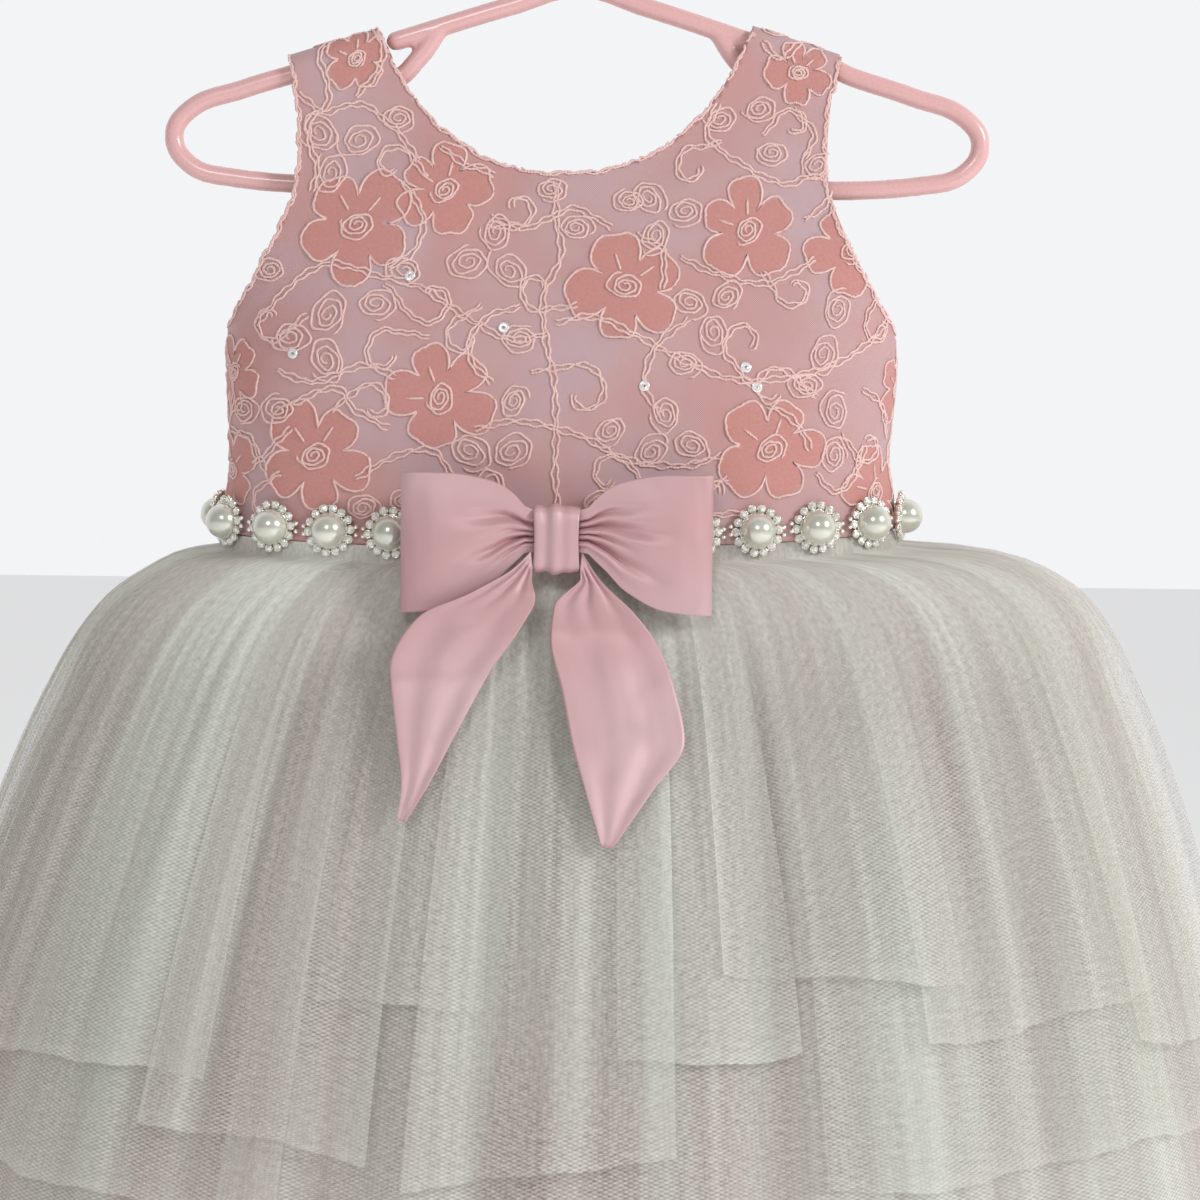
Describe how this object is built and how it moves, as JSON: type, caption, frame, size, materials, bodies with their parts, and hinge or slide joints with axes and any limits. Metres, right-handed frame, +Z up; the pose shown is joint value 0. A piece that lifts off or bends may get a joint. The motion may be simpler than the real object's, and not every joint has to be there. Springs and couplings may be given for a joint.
{
  "type": "toddler party dress on a hanger",
  "caption": "Sleeveless toddler party dress with a lace bodice, pearl waist trim, satin bow and a full tulle skirt in tiers, on a moulded plastic hanger.",
  "frame": {"origin": "inside of the hanger hook's crown, where a rail carries it", "axes": "+Z up, -Y towards the front of the dress, +X to the right seen from the front"},
  "size_m": [0.5287, 0.2892, 0.6518],
  "materials": {
    "bodice_lace": "pink satin under an embroidered lace overlay",
    "bow_satin": "glossy pink satin ribbon",
    "tulle": "fine see-through net, ivory",
    "skirt_lining": "matt pink lining",
    "pearl": "pearl bead in a ring of clear stones",
    "hanger_plastic": "pale pink, glossy"
  },
  "bodies": {
    "root": {"bodice_back_left": "bodice_lace", "bodice_back_right": "bodice_lace", "bodice_front": "bodice_lace", "bow_knot": "bow_satin", "bow_loop_left": "bow_satin", "bow_loop_right": "bow_satin", "bow_tail_left": "bow_satin", "bow_tail_right": "bow_satin", "button_1": "bow_satin", "button_2": "bow_satin", "button_3": "bow_satin", "button_4": "bow_satin", "hanger": "hanger_plastic", "pearl_01": "pearl", "pearl_02": "pearl", "pearl_03": "pearl", "pearl_04": "pearl", "pearl_05": "pearl", "pearl_06": "pearl", "pearl_07": "pearl", "pearl_08": "pearl", "pearl_09": "pearl", "pearl_10": "pearl", "pearl_11": "pearl", "pearl_12": "pearl", "pearl_13": "pearl", "pearl_14": "pearl", "pearl_15": "pearl", "pearl_16": "pearl", "pearl_17": "pearl", "pearl_18": "pearl", "pearl_19": "pearl", "pearl_20": "pearl", "pearl_21": "pearl", "skirt_lining": "skirt_lining", "skirt_panel_01": "tulle", "skirt_panel_02": "tulle", "skirt_panel_03": "tulle", "skirt_panel_04": "tulle", "skirt_panel_05": "tulle", "skirt_panel_06": "tulle", "skirt_panel_07": "tulle", "skirt_panel_08": "tulle", "skirt_panel_09": "tulle", "skirt_panel_10": "tulle", "skirt_panel_11": "tulle", "skirt_panel_12": "tulle", "skirt_panel_13": "tulle", "skirt_panel_14": "tulle", "skirt_panel_15": "tulle", "skirt_panel_16": "tulle", "skirt_panel_17": "tulle", "skirt_tier_bottom": "tulle", "skirt_tier_middle": "tulle"}
  },
  "joints": []
}
